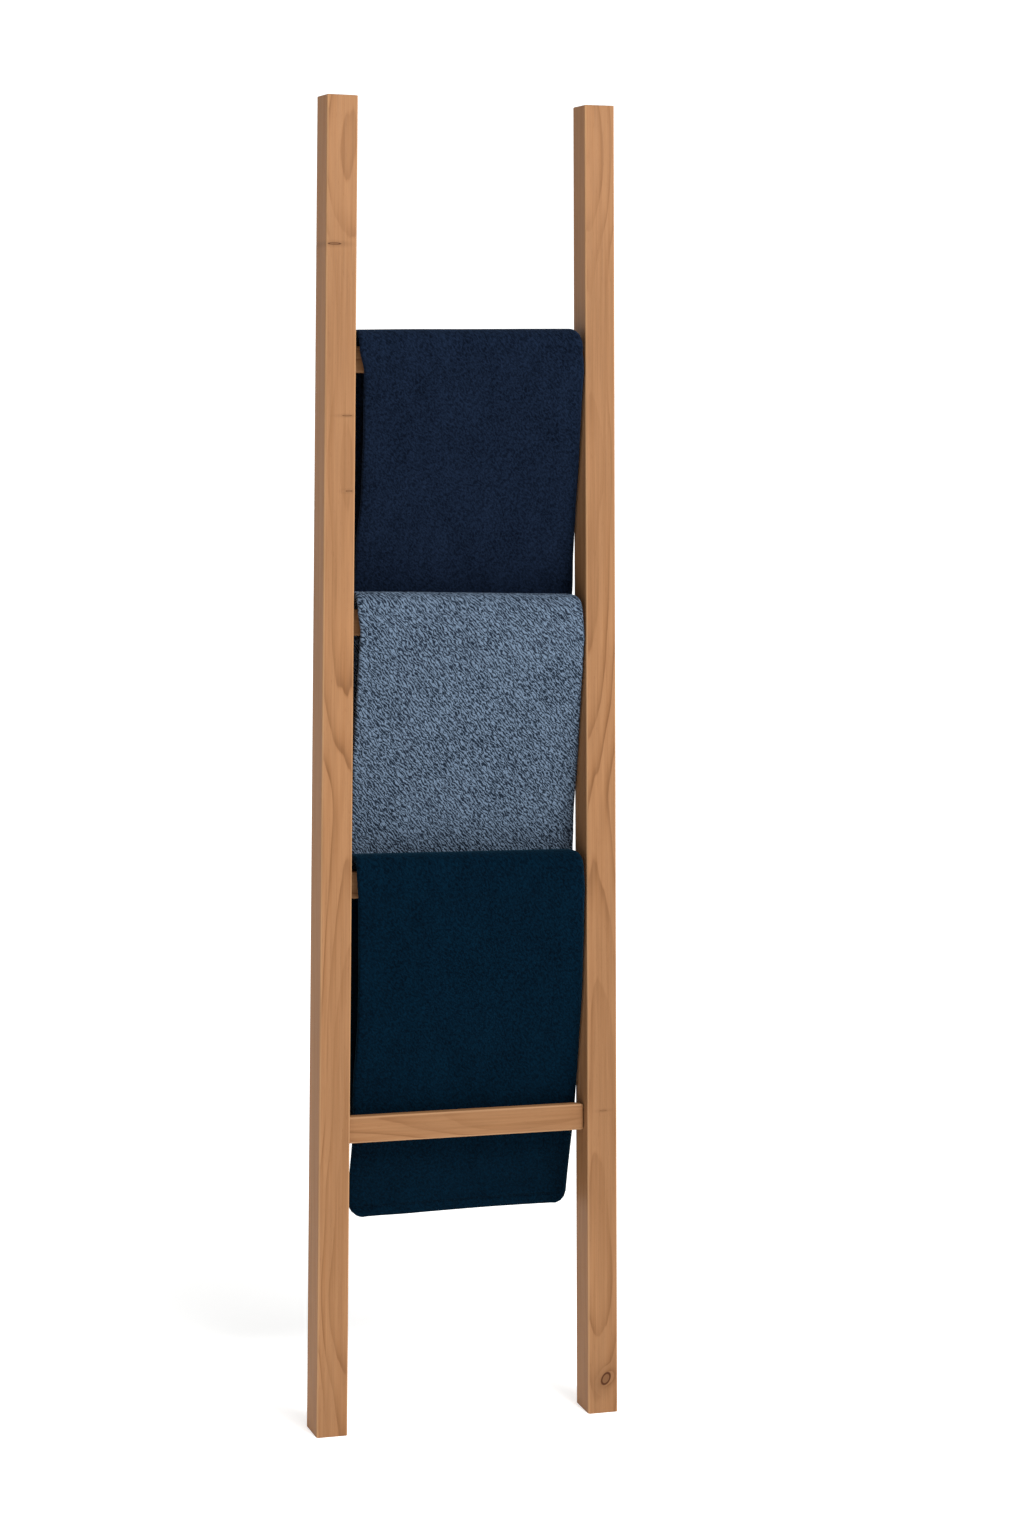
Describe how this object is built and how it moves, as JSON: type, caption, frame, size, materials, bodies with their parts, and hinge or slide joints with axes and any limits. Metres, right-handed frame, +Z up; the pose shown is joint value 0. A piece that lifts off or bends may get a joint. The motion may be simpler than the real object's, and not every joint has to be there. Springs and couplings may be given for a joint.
{
  "type": "leaning blanket ladder with folded throws",
  "caption": "Wooden ladder that leans on a wall, with flat rungs between square rails, and folded fleece throws hung over the upper rungs.",
  "frame": {"origin": "on the floor, in the middle of the box that the leaning ladder takes up", "axes": "+X along the rungs, +Y from the front of the ladder to the wall behind it, +Z up from the floor"},
  "size_m": [0.4388, 0.3574, 1.7725],
  "materials": {
    "wood": "satin oiled",
    "dowel_wood": "bare",
    "felt": "pressed felt",
    "navy_fleece": "short napped fleece",
    "slate_sherpa": "curly sherpa pile",
    "teal_fleece": "smooth plush fleece"
  },
  "bodies": {
    "ladder": {"left_rail": "wood", "right_rail": "wood", "rung_1": "wood", "rung_2": "wood", "rung_3": "wood", "rung_4": "wood", "rung_1_left_dowel_upper": "dowel_wood", "rung_1_left_dowel_lower": "dowel_wood", "rung_1_right_dowel_upper": "dowel_wood", "rung_1_right_dowel_lower": "dowel_wood", "rung_2_left_dowel_upper": "dowel_wood", "rung_2_left_dowel_lower": "dowel_wood", "rung_2_right_dowel_upper": "dowel_wood", "rung_2_right_dowel_lower": "dowel_wood", "rung_3_left_dowel_upper": "dowel_wood", "rung_3_left_dowel_lower": "dowel_wood", "rung_3_right_dowel_upper": "dowel_wood", "rung_3_right_dowel_lower": "dowel_wood", "rung_4_left_dowel_upper": "dowel_wood", "rung_4_left_dowel_lower": "dowel_wood", "rung_4_right_dowel_upper": "dowel_wood", "rung_4_right_dowel_lower": "dowel_wood", "left_wall_pad": "felt", "right_wall_pad": "felt"},
    "top_throw": {"top_throw": "navy_fleece"},
    "middle_throw": {"middle_throw": "slate_sherpa"},
    "bottom_throw": {"bottom_throw": "teal_fleece"}
  },
  "joints": [
    {"name": "top_throw_lift", "type": "slide", "parent": "ladder", "child": "top_throw", "axis": [0, 0, 1], "range_m": [0, 0.5]},
    {"name": "middle_throw_lift", "type": "slide", "parent": "ladder", "child": "middle_throw", "axis": [0, 0, 1], "range_m": [0, 0.5]},
    {"name": "bottom_throw_lift", "type": "slide", "parent": "ladder", "child": "bottom_throw", "axis": [0, 0, 1], "range_m": [0, 0.5]}
  ]
}
